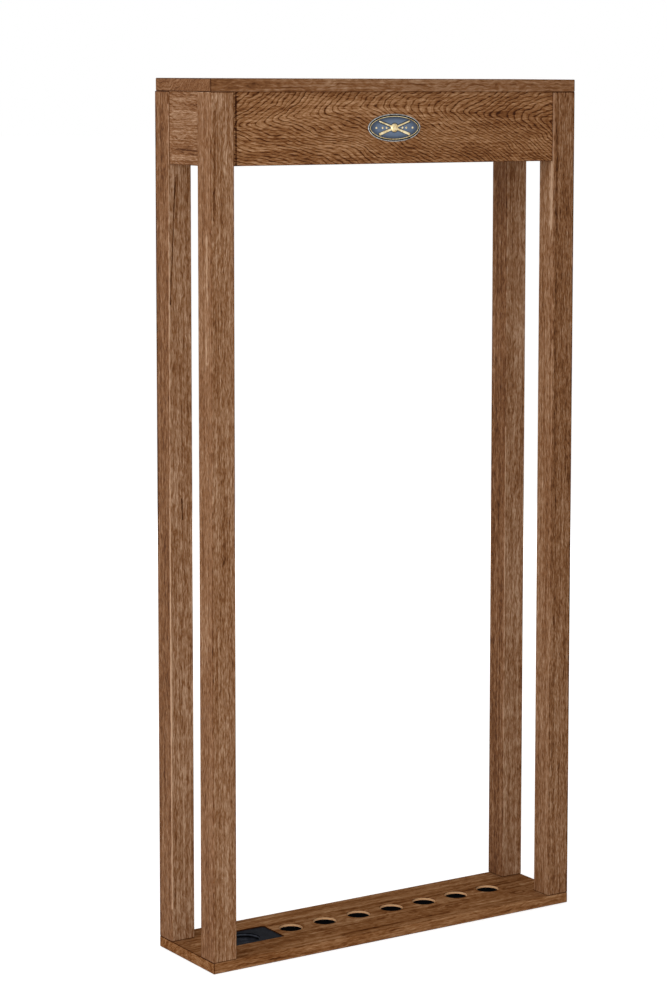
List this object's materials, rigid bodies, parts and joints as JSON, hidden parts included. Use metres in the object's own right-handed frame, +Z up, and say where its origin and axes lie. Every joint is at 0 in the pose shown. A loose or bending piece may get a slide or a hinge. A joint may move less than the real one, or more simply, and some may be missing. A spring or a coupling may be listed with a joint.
{
  "type": "wall cue rack",
  "caption": "Open wooden wall rack for pool cues: posts join a base with felt-bottomed wells to a cap and header that hide a notched shaft rail.",
  "frame": {"origin": "centre of the bounding box's bottom face, under the middle of the base board", "axes": "+X to the right as seen from the room, +Y into the wall, +Z up"},
  "size_m": [0.756, 0.191, 1.524],
  "materials": {
    "stained_oak": "satin",
    "beech_dowel": "matte",
    "zinc_screw": "satin",
    "black_felt": "matte",
    "black_rubber": "satin",
    "pewter": "satin",
    "slate_enamel": "gloss",
    "brass_pin": "satin"
  },
  "bodies": {
    "root": {"base_board": "stained_oak", "top_cap": "stained_oak", "post_front_left": "stained_oak", "post_front_right": "stained_oak", "post_rear_left": "stained_oak", "post_rear_right": "stained_oak", "header_board": "stained_oak", "side_apron_left": "stained_oak", "side_apron_right": "stained_oak", "rear_rail": "stained_oak", "cue_rail": "stained_oak", "cap_cleat_front": "stained_oak", "cap_cleat_rear": "stained_oak", "header_dowels": "beech_dowel", "rear_rail_dowels": "beech_dowel", "apron_dowels": "beech_dowel", "cap_dowels": "beech_dowel", "base_screws": "zinc_screw", "cue_rail_screws": "zinc_screw", "cap_screws": "zinc_screw", "well_felts": "black_felt", "notch_liners": "black_felt", "bridge_notch_liner": "black_felt", "bridge_pad": "black_rubber", "badge_plate": "pewter", "badge_enamel": "slate_enamel", "badge_emblem": "pewter", "badge_pins": "brass_pin"}
  },
  "joints": []
}
